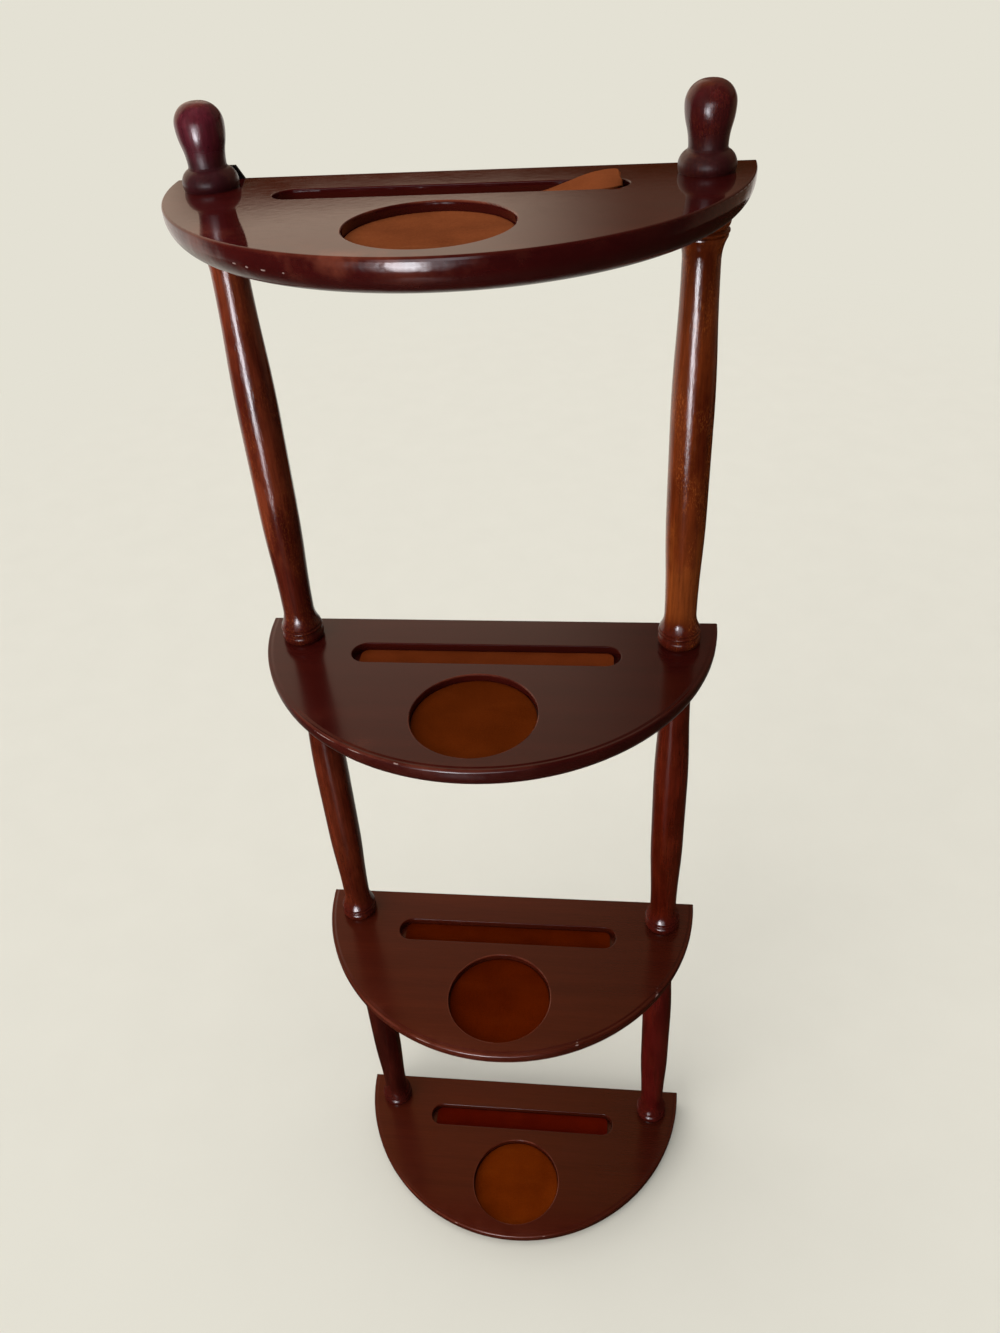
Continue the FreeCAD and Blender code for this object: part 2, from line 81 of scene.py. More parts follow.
# %% A wire that can be calculated with
class Wire:
    """An output socket of a net. A sum on wires adds its Math nodes."""

    def __init__(self, net, socket):
        self.net = net
        self.socket = socket

    def maths(self, operation, *values):
        return self.net.node("ShaderNodeMath", {"operation": operation}, dict(enumerate(values)))

    def __add__(self, other):
        return self.maths("ADD", self, other)

    def __sub__(self, other):
        return self.maths("SUBTRACT", self, other)

    def __mul__(self, other):
        return self.maths("MULTIPLY", self, other)

    def __truediv__(self, other):
        return self.maths("DIVIDE", self, other)

    def __radd__(self, other):
        return self.maths("ADD", other, self)

    def __rsub__(self, other):
        return self.maths("SUBTRACT", other, self)

    def __rmul__(self, other):
        return self.maths("MULTIPLY", other, self)

    def __rtruediv__(self, other):
        return self.maths("DIVIDE", other, self)

    def size(self):
        """The value without its sign."""
        return self.maths("ABSOLUTE", self)

    def larger(self, other):
        return self.maths("MAXIMUM", self, other)

    def between(self, low, high):
        """0 below low, 1 above high, with a soft step between them. Low may be the larger one."""
        steps = {"interpolation_type": "SMOOTHSTEP"}
        return self.net.node("ShaderNodeMapRange", steps, {"Value": self, "From Min": low, "From Max": high})


class Net:
    """A node tree under way, and the ways to add to it."""

    def __init__(self, tree):
        self.tree = tree

    def feed(self, socket, value):
        if isinstance(value, Wire):
            self.tree.links.new(value.socket, socket)
        elif socket.type == "RGBA" and len(value) == 3:
            socket.default_value = (*value, 1.0)
        else:
            socket.default_value = value

    def node(self, kind, settings, inputs, out=0):
        made = self.tree.nodes.new(kind)
        for name, value in settings.items():
            setattr(made, name, value)
        for name, value in inputs.items():
            self.feed(made.inputs[name], value)
        return Wire(self, made.outputs[out]) if made.outputs else None

    def mix(self, share, low, high):
        """A colour between two. Sockets 6 and 7 of the Mix node are its colours, and output 2 the result."""
        return self.node("ShaderNodeMix", {"data_type": "RGBA"}, {0: share, 6: low, 7: high}, 2)

    def scaled(self, vector, factor):
        """A colour or a vector times a number."""
        return self.node("ShaderNodeVectorMath", {"operation": "SCALE"}, {0: vector, "Scale": factor})

    def stretch(self, vector, scale, shift=(0.0, 0.0, 0.0)):
        settings = {"operation": "MULTIPLY_ADD"}
        return self.node("ShaderNodeVectorMath", settings, {0: vector, 1: scale, 2: shift})

    def parts(self, vector):
        return [self.node("ShaderNodeSeparateXYZ", {}, {0: vector}, axis) for axis in "XYZ"]

    def length(self, x, y):
        flat = self.node("ShaderNodeCombineXYZ", {}, {"X": x, "Y": y})
        return self.node("ShaderNodeVectorMath", {"operation": "LENGTH"}, {0: flat}, "Value")

    def cloud(self, vector, scale, detail, roughness):
        """Soft noise from 0 to 1. Its scale counts marks to the unit of the vector."""
        inputs = {"Vector": vector, "Scale": scale, "Detail": detail, "Roughness": roughness}
        return self.node("ShaderNodeTexNoise", {}, inputs, "Fac")

    def rays(self, *kinds):
        """1 where one of these kinds of ray meets the surface, such as Camera or Glossy."""
        found = [self.node("ShaderNodeLightPath", {}, {}, f"Is {kind} Ray") for kind in kinds]
        total = found[0]
        for other in found[1:]:
            total = total.larger(other)
        return total


class Finish(Net):
    """A material under way, with its main shader."""

    def __init__(self, name):
        self.material = bpy.data.materials.new(name)
        self.material.use_nodes = True
        super().__init__(self.material.node_tree)
        self.shader = self.tree.nodes["Principled BSDF"]

    def set(self, **sockets):
        """Set sockets of the main shader, with words joined by _ in place of spaces."""
        for name, value in sockets.items():
            self.feed(self.shader.inputs[name.replace("_", " ")], value)

    def cover(self, share, shader):
        """Lay a share of another shader over the main one."""
        main = Wire(self, self.shader.outputs["BSDF"])
        both = self.node("ShaderNodeMixShader", {}, {0: share, 1: main, 2: shader})
        self.feed(self.tree.nodes["Material Output"].inputs["Surface"], both)

    def place(self):
        """Where a point lies, in millimetres, as a vector wire."""
        return self.scaled(self.node("ShaderNodeTexCoord", {}, {}, "Object"), MM)

    def bump(self, height, distance, strength):
        inputs = {"Height": height, "Distance": distance, "Strength": strength}
        return self.node("ShaderNodeBump", {}, inputs, "Normal")


def colour(red, green, blue):
    """A colour as a picture shows it, from 0 to 255, turned into the light values that shaders use."""
    def light(value):
        value /= 255.0
        return value / 12.92 if value <= 0.04045 else ((value + 0.055) / 1.055) ** 2.4

    return light(red), light(green), light(blue)


print("middle grey", [round(v, 3) for v in colour(128, 128, 128)])

# %% [markdown]
# ## Mahogany under lacquer
#
# The wood is stained a deep red-brown and then lacquered, so the grain is only a hint: long soft streaks,
# fine fibres and short dark pores. All of them are the same noise, drawn out along the grain. The lacquer
# could be a coat over a dull wood, but two glosses lay a grey veil over the dark stain, and the coat would
# ignore the bump. So there is one gloss, that of the wood's own surface, with the roughness of lacquer.

# %% The grain of a piece
# Lengths along the grain are squeezed to this share, which draws the marks of the noise out
ALONG_GRAIN = 0.045
ALONG_X = (ALONG_GRAIN, 1.0, 1.0)
ALONG_Z = (1.0, 1.0, ALONG_GRAIN)
# How far apart the places lie where one piece and the next take their grain from
GRAIN_APART = (31.7, 17.3, 7.9)
PORE_SHADE = 0.35


def apart(seed, step):
    """Where a piece takes its noise from, so that no two pieces match."""
    return tuple(seed * value for value in step)


def grain(finish, place, stretch, seed):
    """Three masks drawn out along the grain: broad streaks, fine fibres and pores."""
    drawn = finish.stretch(place, stretch, apart(seed, GRAIN_APART))
    streaks = finish.cloud(drawn, 0.11, 3.0, 0.5).between(0.28, 0.74)
    fibres = finish.cloud(drawn, 0.9, 4.0, 0.65).between(0.35, 0.75)
    pores = finish.cloud(drawn, 2.6, 2.0, 0.5).between(0.60, 0.74)
    return streaks, fibres, pores


def grained_colour(finish, body, deep, fibres, pores, depth):
    """A body colour with lighter and darker fibres and dark pores in it."""
    lined = finish.scaled(body, (fibres - 0.5) * depth + 1.0)
    return finish.mix(pores * depth, lined, tuple(value * PORE_SHADE for value in deep))


print("grain drawn out", round(1.0 / ALONG_GRAIN), "times")

# %% [markdown]
# ## The boards
#
# The boards are the darkest pieces. The upper corner of the front edge is painted lighter and redder, partly
# as stain thinned by years of handling and partly as a painted warm highlight. Here and there the lacquer is
# chipped to the pale wood, and on the second board a row of chips along the upper corner is partly a painted
# highlight.
# An edge could be found by how sharply the mesh bends, but that depends on the mesh. The corner is a known
# circle, so the distance to it is worked out instead, and the lighter colour fades with that distance. It is
# strongest left of the middle, and the rims of the recesses are a little lighter too. The stain is painted
# darker towards the right, as painted shade away from the light. The lacquer is duller on the edges, because
# the end grain there soaks it up.

# %% Stain, painted light and shade, and lacquer of the boards
# The deep and the rich tone of each board; the third and bottom boards are painted warmer, as painted warm
# light
BOARD_REDS = {
    "top": (colour(48, 8, 8), colour(66, 15, 12)),
    "second": (colour(48, 9, 7), colour(68, 18, 12)),
    "third": (colour(60, 17, 8), colour(80, 27, 12)),
    "bottom": (colour(58, 17, 8), colour(76, 25, 11)),
}
# How much the grain shows, and the height that the lacquer's relief is counted in, in metres
BOARD_GRAIN, BOARD_RELIEF = 0.16, 0.00004
# Painted shade: the stain is painted darker between these places to the right, in mm, by this share
SHADE_FROM_TO, SHADE_BY = (-30.0, 90.0), 0.35
# How strongly the lacquer mirrors, and how dull that of each board is
LACQUER_GLOSS = 0.45
DULLNESS = {"top": 0.05, "second": 0.15, "third": 0.17, "bottom": 0.17}
print("the top board's deep red is", [round(value, 4) for value in BOARD_REDS["top"][0]])

# %% Chips and painted highlights in the front edges
BARE = colour(186, 160, 152)
# Each chip: its place to the right, its depth below the top, its half length and its half height, in mm
CHIPS_AND_HIGHLIGHTS = {
    "top": ((-62.6, 6.1, 0.9, 0.4), (-57.7, 6.5, 0.7, 0.35), (-51.3, 6.6, 1.1, 0.35), (-43.5, 6.6, 0.4, 0.3)),
    # On the second board these chips line the upper corner and are partly a painted highlight along it
    "second": ((-66.0, 1.2, 6.0, 0.3), (-50.0, 0.9, 4.0, 0.3), (-30.0, 0.6, 1.2, 0.35)),
    "third": ((90.5, 0.5, 1.0, 0.5), (46.2, 0.5, 1.0, 0.5), (-40.0, 0.8, 5.0, 0.3)),
    "bottom": ((-38.0, 0.7, 1.2, 0.35), (22.0, 0.7, 1.4, 0.3)),
}
# How far noise frays a chip's outline, as a share of its size, and how much bare wood shows in it
FRAYED, BARED = 1.8, 0.45


def chip_mask(finish, place, x, depth, inside, chips):
    """1 on the chips of one board, some of them partly a painted highlight, and 0 elsewhere, with ragged
    outlines, only near the front edge.
    """
    ragged = finish.cloud(place, 1.1, 3.0, 0.6)
    mask = 0.0
    for chip_x, chip_depth, half_length, half_height in chips:
        across = (x - chip_x) / half_length
        down = (depth - chip_depth) / half_height
        reach = finish.length(across, down) + (ragged - 0.5) * FRAYED
        mask = reach.between(1.0, 0.6).larger(mask)
    return mask * inside.between(4.0, 3.0)


print({level: len(chips) for level, chips in CHIPS_AND_HIGHLIGHTS.items()}, "chips")

# %% Wear and painted highlights of the boards
# The lighter red of the worn places; on the upper corner it is partly a painted warm highlight
WORN_AND_HIGHLIGHT_RED = colour(124, 62, 44)
# Where each kind of wear begins and where it is full, in mm from the upper corner or a recess's rim
WORN_REACH, RUBBED_REACH, RIM_REACH = (1.5, 0.4), (13.0, 1.0), (0.9, 0.3)
# The lighter colour is strongest between these two borders, in mm to the right
STRONG_RIGHT_BORDER, STRONG_LEFT_BORDER = (50.0, -20.0), (-92.0, -66.0)
# How much each board is rubbed, and how far wear has rounded its upper corner
RUBBED = {"top": 0.5, "second": 0.12, "third": 0.12, "bottom": 0.12}
ROUNDED = {"top": 0.0, "second": 16.0, "third": 26.0, "bottom": 8.0}


def board_wear_and_highlight(level, x, from_corner, from_rim, patches):
    """How far the stain is lightened: on the upper corner, partly as wear and partly as a painted highlight,
    in a rubbed band behind it and round the recess.
    """
    leftward = x.between(*STRONG_RIGHT_BORDER) * x.between(*STRONG_LEFT_BORDER) * 0.9 + 0.1
    # The upper corner: partly wear, partly a painted warm highlight
    worn = from_corner.between(*WORN_REACH) * patches.between(0.3, 0.6) * leftward * 0.3
    rubbed = from_corner.between(*RUBBED_REACH) * patches.between(0.42, 0.68) * leftward * RUBBED[level]
    rim = from_rim.between(*RIM_REACH) * patches.between(0.35, 0.6) * 0.4
    return worn.larger(rubbed).larger(rim)


def board_relief(finish, level, place, depth, inside, edge):
    """The height of the lacquer: a fine peel, slow waves on the edge and the rounded upper corner."""
    peel = finish.cloud(place, 0.35, 2.0, 0.5)
    waves = finish.cloud(place, 0.14, 2.0, 0.5)
    rounding = depth.between(1.6, 0.1) * inside.between(3.0, 1.5)
    return peel * 0.3 + waves * edge * 8.0 - rounding * ROUNDED[level]


print("rubbed", RUBBED)

# %% Finish of the boards
def board_finish(level, seed):
    finish = Finish(f"{level}_board_lacquer")
    place = finish.place()
    x, y, z = finish.parts(place)
    depth = board_tops[level] - z
    inside = EDGE_RADIUS_MM - finish.length(x, y - edge_centre_y)
    from_corner = finish.length(inside, depth)
    from_rim = finish.length(finish.length(x, y - recess_y) - RECESS_MM, depth)
    edge = depth.between(0.4, 1.6)
    patches = finish.cloud(place, 0.05, 4.0, 0.6)

    deep, rich = BOARD_REDS[level]
    streaks, fibres, pores = grain(finish, place, ALONG_X, seed)
    body = finish.mix(streaks * 0.35 + 0.15, deep, rich)
    stain = grained_colour(finish, body, deep, fibres, pores, BOARD_GRAIN)
    # Painted shade: the stain is painted darker towards the right, away from the light
    stain = finish.scaled(stain, 1.0 - x.between(*SHADE_FROM_TO) * SHADE_BY)
    stain = finish.mix(board_wear_and_highlight(level, x, from_corner, from_rim, patches), stain, WORN_AND_HIGHLIGHT_RED)
    chips = chip_mask(finish, place, x, depth, inside, CHIPS_AND_HIGHLIGHTS[level])
    dull = edge * 0.06 + depth.between(5.0, 9.0) * 0.14 + patches.between(0.3, 0.75) * 0.03
    relief = board_relief(finish, level, place, depth, inside, edge)
    finish.set(
        Base_Color=finish.mix(chips * BARED, stain, BARE),
        Roughness=dull + chips * 0.4 + DULLNESS[level],
        Specular_IOR_Level=LACQUER_GLOSS,
        Normal=finish.bump(relief + fibres * 0.04 - pores * 0.05, BOARD_RELIEF, 0.6),
    )
    return finish.material


for number, level in enumerate(LEVELS):
    board = nodes[f"{level}_shelf"]
    board.data.materials.clear()
    board.data.materials.append(board_finish(level, number + 1.0))
    print(board.name, "is dressed in", board.data.materials[0].name)

# %% [markdown]
# ## The turned pieces
#
# Spindles and finials are turned from square sticks, so their grain runs up the stick. They are lighter and
# livelier than the boards: the stain took unevenly, in long clouds with pale flecks, and no two sticks
# match. The sticks lower down are also painted darker, as painted shade under the boards above them. The
# upper right one is the most orange, above all near its foot, while the upper left one is painted darker
# near its foot, as painted shade. The rings of each foot are darker, and on the finials the skirt is duller
# too. The lacquer sank into the open grain, so the bump is stronger here than on the boards, and it frays the
# edges of the gleam.

# %% Stain and painted shade of the spindles and finials
# The deep and the rich tone of each stick; the sticks lower down are painted darker, as painted shade under
# the boards above them
TURNED = {
    "top_left_spindle": (colour(70, 20, 11), colour(114, 48, 26)),
    "top_right_spindle": (colour(72, 23, 6), colour(104, 44, 15)),
    "middle_left_spindle": (colour(56, 14, 6), colour(90, 34, 18)),
    "middle_right_spindle": (colour(54, 10, 3), colour(80, 22, 9)),
    "bottom_left_spindle": (colour(40, 9, 7), colour(58, 17, 12)),
    "bottom_right_spindle": (colour(54, 7, 6), colour(72, 14, 11)),
    "left_finial": (colour(58, 14, 23), colour(94, 29, 41)),
    "right_finial": (colour(52, 11, 13), colour(74, 21, 19)),
}
FINIALS = ("left_finial", "right_finial")
FOOT_RED, SKIRT_RED = colour(60, 15, 11), colour(42, 13, 14)
# Where a spindle is paler or darker near its foot: the heights in mm where that begins and where it ends,
# and its colour. The pale band is the stick's own stain, the dark one painted shade. The clouds fray the
# upper border by this many mm.
STAIN_AND_SHADE_BANDS = {
    "top_right_spindle": ((452.0, 462.0), (512.0, 478.0), colour(118, 57, 22)),
    # Painted shade: the upper left spindle is painted darker towards its foot
    "top_left_spindle": ((430.0, 440.0), (545.0, 480.0), colour(62, 15, 9)),
}
BAND_FRAYED = 40.0


def turned_body(finish, name, height, foot, blend, clouds):
    """The colour of a stick before its grain: its two shades, its band, which is stain on one stick and
    painted shade on the other, and the dark rings of its foot.
    """
    body = finish.mix(blend, *TURNED[name])
    if name in STAIN_AND_SHADE_BANDS:
        starts, ends, shade = STAIN_AND_SHADE_BANDS[name]
        band = height.between(*starts) * (height + (clouds - 0.5) * BAND_FRAYED).between(*ends)
        body = finish.mix(band * 0.8, body, shade)
    return finish.mix(foot * 0.75, body, SKIRT_RED if name in FINIALS else FOOT_RED)


print(len(TURNED), "sticks, of which", len(STAIN_AND_SHADE_BANDS), "have a band")

# %% Finish of the spindles and finials
# How much the grain shows, and the height that the relief is counted in, in metres
TURNED_GRAIN, TURNED_RELIEF = 0.42, 0.00009
# The rings of a foot begin and are full at these heights above its lower end, in mm
FOOT_RINGS = (17.0, 8.0)
# The clouds of a stick are drawn out upwards, and each stick takes its own from the noise
CLOUDS_DRAWN, CLOUDS_APART = (1.0, 1.0, 0.35), (5.3, 11.9, 23.1)
# How strongly pale flecks show on a stick
FLECK = colour(160, 84, 36)
FEW_FLECKS, MORE_FLECKS = 0.1, {"top_left_spindle": 0.3, "top_right_spindle": 0.6}
# How dull the lacquer is on spindles and on finials, and how much duller on a finial's skirt
SPINDLE_DULL, FINIAL_DULL, SKIRT_DULL = 0.09, 0.19, 0.14
FINIAL_GLOSS = 0.75


def turned_finish(name, seed):
    finish = Finish(f"{name}_lacquer")
    place = finish.place()
    height = finish.parts(place)[2]
    foot = (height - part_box(name)[0].z * MM).between(*FOOT_RINGS)
    streaks, fibres, pores = grain(finish, place, ALONG_Z, seed)
    shifted = finish.stretch(place, CLOUDS_DRAWN, apart(seed, CLOUDS_APART))
    clouds = finish.cloud(shifted, 0.07, 4.0, 0.6).between(0.36, 0.64)
    body = turned_body(finish, name, height, foot, clouds * 0.75 + streaks * 0.25, clouds)
    stain = grained_colour(finish, body, TURNED[name][0], fibres, pores, TURNED_GRAIN)
    clusters = finish.cloud(shifted, 0.12, 2.0, 0.5).between(0.42, 0.66)
    flecks = finish.cloud(shifted, 1.7, 3.0, 0.7).between(0.46, 0.74)
    ripple = finish.cloud(finish.stretch(place, (1.0, 1.0, 0.12)), 0.9, 4.0, 0.7)
    waves = finish.cloud(finish.stretch(place, (1.0, 1.0, 0.3)), 0.4, 3.0, 0.6)
    relief = waves * 1.6 + ripple * 0.6 + fibres * 0.12 - pores * 0.15
    finish.set(
        Base_Color=finish.mix(flecks * clusters * MORE_FLECKS.get(name, FEW_FLECKS), stain, FLECK),
        Roughness=clouds * 0.05 + (foot * SKIRT_DULL + FINIAL_DULL if name in FINIALS else SPINDLE_DULL),
        Specular_IOR_Level=FINIAL_GLOSS if name in FINIALS else LACQUER_GLOSS,
        Normal=finish.bump(relief, TURNED_RELIEF, 0.8),
    )
    return finish.material


for number, name in enumerate(TURNED):
    piece = nodes[name]
    piece.data.materials.clear()
    piece.data.materials.append(turned_finish(name, number + 11.0))
    print(piece.name, "is dressed in", piece.data.materials[0].name)

# %% [markdown]
# ## Suede liners
#
# The cup recesses and saucer grooves are lined with thin orange-brown suede cloth. Suede has no gloss: a
# short nap catches the light in soft clouds, which show where something has brushed it. The sheen of the
# shader does the nap, and two sizes of noise do the clouds and the fibres. The liners are painted lighter on
# the top board and darker lower down, as painted light and shade.

# %% Finish of the suede
# The dark, the light and the brushed tone on each board, and of strips that differ from their pads. They are
# painted lighter on the top board and darker lower down, as painted light and shade; the second board's strip
# is painted lighter and the bottom board's strip darker than their pads.
SUEDE = {
    "top": (colour(95, 48, 25), colour(112, 58, 31), colour(128, 72, 42)),
    "second": (colour(78, 29, 4), colour(88, 34, 6), colour(98, 43, 12)),
    "third": (colour(69, 17, 1), colour(79, 22, 1), colour(88, 29, 4)),
    "bottom": (colour(85, 29, 2), colour(99, 37, 3), colour(109, 46, 7)),
    "second_suede_strip": (colour(92, 38, 13), colour(104, 45, 18), colour(112, 54, 24)),
    "bottom_suede_strip": (colour(70, 10, 2), colour(80, 14, 2), colour(90, 20, 4)),
}
# Each liner takes its clouds from its own part of the noise
SUEDE_APART = (13.1, 29.3, 3.7)
NAP_HEIGHT = 0.0002


def suede_finish(name, level, seed):
    dark, light, brushed = SUEDE.get(name, SUEDE[level])
    finish = Finish(f"{name}_cloth")
    place = finish.stretch(finish.place(), (1.0, 1.0, 1.0), apart(seed, SUEDE_APART))
    clouds = finish.cloud(place, 0.045, 3.0, 0.5)
    nap = finish.cloud(place, 1.3, 4.0, 0.75)
    strokes = finish.cloud(finish.stretch(place, (0.35, 1.0, 1.0)), 0.09, 3.0, 0.55)
    body = finish.mix(clouds.between(0.25, 0.75), dark, light)
    body = finish.mix(strokes.between(0.50, 0.80) * 0.35, body, brushed)
    finish.set(
        Base_Color=finish.scaled(body, nap * 0.8 + 0.6),
        Roughness=clouds * 0.1 + 0.88,
        Specular_IOR_Level=0.0,
        Sheen_Weight=0.1,
        Sheen_Roughness=0.5,
        Sheen_Tint=brushed,
        Normal=finish.bump(nap, NAP_HEIGHT, 0.8),
    )
    return finish.material


print(len(SUEDE), "sets of suede shades")

# %% [markdown]
# ## Cutting the liners
#
# A liner is a flat cut of cloth, so it starts as a flat net of quads that a Solidify modifier thickens and a
# Bevel softens at the cut edge. The round pads are rings round a centre. The strips are a grid whose width
# shrinks along a quarter circle at each corner. A little noise in the height keeps the cloth from lying
# like sheet metal.

# %% A sheet of suede from a net of points
LINER = 0.001
# The rounding of the cut edge, and the sharpest bend that isn't a cut
CUT_SOFTNESS, CUT_ANGLE = 0.00025, math.radians(50.0)
# How far the cloth departs from flat, and how closely its swells follow each other, per metre
UNEVEN, SWELLS = 0.00012, 140.0


def uneven(x, y, seed):
    return UNEVEN * noise.noise(Vector((x * SWELLS, y * SWELLS, seed)))


def lay_liner(name, points, faces, seed, node, level, area):
    """Make a liner from its lower face, dress it, and let it stand for its CAD node."""
    mesh = bpy.data.meshes.new(name)
    mesh.from_pydata(points, [], faces)
    mesh.polygons.foreach_set("use_smooth", [True] * len(faces))
    piece = bpy.data.objects.new(name, mesh)
    bpy.context.scene.collection.objects.link(piece)
    thick = piece.modifiers.new("thickness", "SOLIDIFY")
    thick.thickness = LINER - UNEVEN
    thick.offset = 1.0
    soft = piece.modifiers.new("cut_edge", "BEVEL")
    soft.width = CUT_SOFTNESS
    soft.segments = 2
    soft.limit_method = "ANGLE"
    soft.angle_limit = CUT_ANGLE
    mesh.materials.append(suede_finish(name, level, seed))
    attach(piece, "root")
    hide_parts(node)


print("liners are", LINER * MM, "mm thick")

# %% Round pads in the cup recesses
RINGS, SPOKES = 22, 120


def pad_net(low, high, seed):
    """The lower face of a round pad: a middle point, rings of quads and a fan of triangles inside."""
    centre = (low + high) / 2
    radius = (high.x - low.x) / 2
    points = [(centre.x, centre.y, low.z + UNEVEN)]
    for ring in range(1, RINGS + 1):
        for spoke in range(SPOKES):
            angle = 2.0 * math.pi * spoke / SPOKES
            x = centre.x + radius * ring / RINGS * math.cos(angle)
            y = centre.y + radius * ring / RINGS * math.sin(angle)
            points.append((x, y, low.z + UNEVEN + uneven(x, y, seed)))
    faces = [(0, 1 + spoke, 1 + (spoke + 1) % SPOKES) for spoke in range(SPOKES)]
    for ring in range(RINGS - 1):
        inner, outer = 1 + ring * SPOKES, 1 + (ring + 1) * SPOKES
        for spoke in range(SPOKES):
            following = (spoke + 1) % SPOKES
            faces.append((inner + spoke, outer + spoke, outer + following, inner + following))
    return points, faces, radius


for number, level in enumerate(LEVELS):
    node = f"{level}_cup_pad"
    low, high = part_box(node)
    points, faces, radius = pad_net(low, high, number + 1.0)
    cut = (2 * radius, 2 * radius)
    lay_liner(f"{level}_suede_pad", points, faces, number + 1.0, node, level, math.pi * radius ** 2)
    print(node, "is a disc of", round(2 * radius * MM, 1), "mm")

# %% Straight strips in the saucer grooves
STATIONS, LANES = 126, 14
CORNER = 0.004
# The loose end of the top strip: where it leaves the groove's floor, how far it rises, how far its back edge
# stands above its front edge, and the share of the loose length after which that tilt is full
LOOSE_FROM, LOOSE_RISE, LOOSE_TILT, TILTED_BY = 0.030, 0.006, 0.0015, 0.45


def half_width_at(x, half_length, half_width):
    """Half the width of a strip with rounded corners."""
    past = max(0.0, abs(x) - (half_length - CORNER))
    return half_width - CORNER + math.sqrt(max(0.0, CORNER ** 2 - past ** 2))


def loose_lift(x, across, half_length):
    """How far the loose end of the top strip stands up at a place along it and across it."""
    share = max(0.0, (x - LOOSE_FROM) / (half_length - LOOSE_FROM))
    rise = 2 * share ** 2 if share < 0.5 else 1 - 2 * (1 - share) ** 2
    tilt = min(1.0, share / TILTED_BY)
    return LOOSE_RISE * rise + LOOSE_TILT * tilt * tilt * (3 - 2 * tilt) * across


def strip_net(low, high, loose, seed):
    """The lower face of a strip, as a grid of stations along it and lanes across it."""
    centre = (low + high) / 2
    half_length, half_width = (high.x - low.x) / 2, (high.y - low.y) / 2
    points, faces = [], []
    for station in range(STATIONS + 1):
        # Closer together at the ends, where the corners turn
        x = half_length * math.sin(math.pi * (station / STATIONS - 0.5))
        half = half_width_at(x, half_length, half_width)
        for lane in range(LANES + 1):
            across = 2.0 * lane / LANES - 1.0
            y = half * across
            lift = loose_lift(x, across, half_length) if loose else 0.0
            points.append((centre.x + x, centre.y + y, low.z + UNEVEN + uneven(x, y, seed) + lift))
    row = LANES + 1
    for station in range(STATIONS):
        for lane in range(LANES):
            first = station * row + lane
            faces.append((first, first + row, first + row + 1, first + 1))
    area = 4 * half_length * half_width - (4 - math.pi) * CORNER ** 2
    return points, faces, (2 * half_length, 2 * half_width), area


for number, level in enumerate(LEVELS):
    node = f"{level}_saucer_strip"
    low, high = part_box(node)
    seed = number + 21.0
    points, faces, cut, area = strip_net(low, high, level == "top", seed)
    lay_liner(f"{level}_suede_strip", points, faces, seed, node, level, area)
    print(node, "is a strip of", [round(side * MM, 1) for side in cut], "mm")

# %% [markdown]
# ## Metal
#
# The hangers and their screws are steel, painted black and rubbed here and there. The studs and the screws
# under the bottom board are plain bright steel, drawn fine along their length. Metal is a matter of the
# Metallic socket: paint has none, and bare steel is all metal.

# %% Black hangers and bright screws
BLACK, RUBBED_BLACK = colour(22, 20, 20), colour(84, 78, 74)
STEEL, STAINED_STEEL = colour(176, 174, 170), colour(120, 108, 94)


def black_metal(name):
    finish = Finish(name)
    place = finish.place()
    patches = finish.cloud(place, 0.45, 5.0, 0.65)
    worn = patches.between(0.60, 0.74)
    finish.set(
        Base_Color=finish.mix(worn * 0.6, BLACK, RUBBED_BLACK),
        Metallic=worn * 0.7,
        Roughness=0.52 - worn * 0.16,
        Normal=finish.bump(finish.cloud(place, 1.6, 3.0, 0.6), 0.0001, 0.5),
    )
    return finish.material


def bright_steel(name):
    finish = Finish(name)
    place = finish.place()
    drawn = finish.cloud(finish.stretch(place, (3.0, 3.0, 0.2)), 1.0, 4.0, 0.6)
    stains = finish.cloud(place, 0.2, 4.0, 0.6)
    finish.set(
        Base_Color=finish.mix(stains.between(0.5, 0.8) * 0.5, STEEL, STAINED_STEEL),
        Metallic=1.0,
        Roughness=drawn * 0.2 + 0.24,
        Normal=finish.bump(drawn, 0.00004, 0.6),
    )
    return finish.material


black, steel = black_metal("black_hanger_paint"), bright_steel("drawn_steel")
for name, piece in nodes.items():
    metal = black if "hanger" in name else steel if name.endswith(("_stud", "_screw")) else None
    if metal:
        piece.data.materials.clear()
        piece.data.materials.append(metal)
        print(name, "is", metal.name)

# %% [markdown]
# ## Stage
#
# The shelf stands on a plain pale floor, which keeps its soft shadow. A plane would have to be very large to
# fill the picture, and its end would show as a line. So the floor is a disc that fades, for the camera,
# into the plain colour of the backdrop. It lies mostly behind the shelf, where the camera looks. For
# mirrored light the floor is dim and brown near the shelf, or the dark wood would look grey. Farther back
# it is as pale as the backdrop, and in front it shows a long streak of lamp light.

# %% Finish of the floor
BACKDROP = colour(228, 225, 212)
FLOOR_SHADES = colour(205, 203, 193), colour(209, 207, 197)
FLOOR_CENTRE, FLOOR_RADIUS = (0.0, 0.85, 0.0), 1.35
FADE_MM = (750.0, 1250.0)
FLOOR_BROWN, STREAK_LIGHT = colour(48, 30, 18), (3.4, 3.1, 3.2)
# The streak of lamp light leans to the left by this share of its distance in front of the shelf
STREAK_LEAN, STREAK_HALF_MM, STREAK_CORE = 0.26, 110.0, 0.2
# Where the streak begins and is full, where the floor behind the shelf turns pale, and where it is pale from
# right to left, all in mm from the middle of the shelf
STREAK_MM, PALE_MM, PALE_SIDES_MM = (-180.0, -900.0), (100.0, 800.0), (500.0, -50.0)


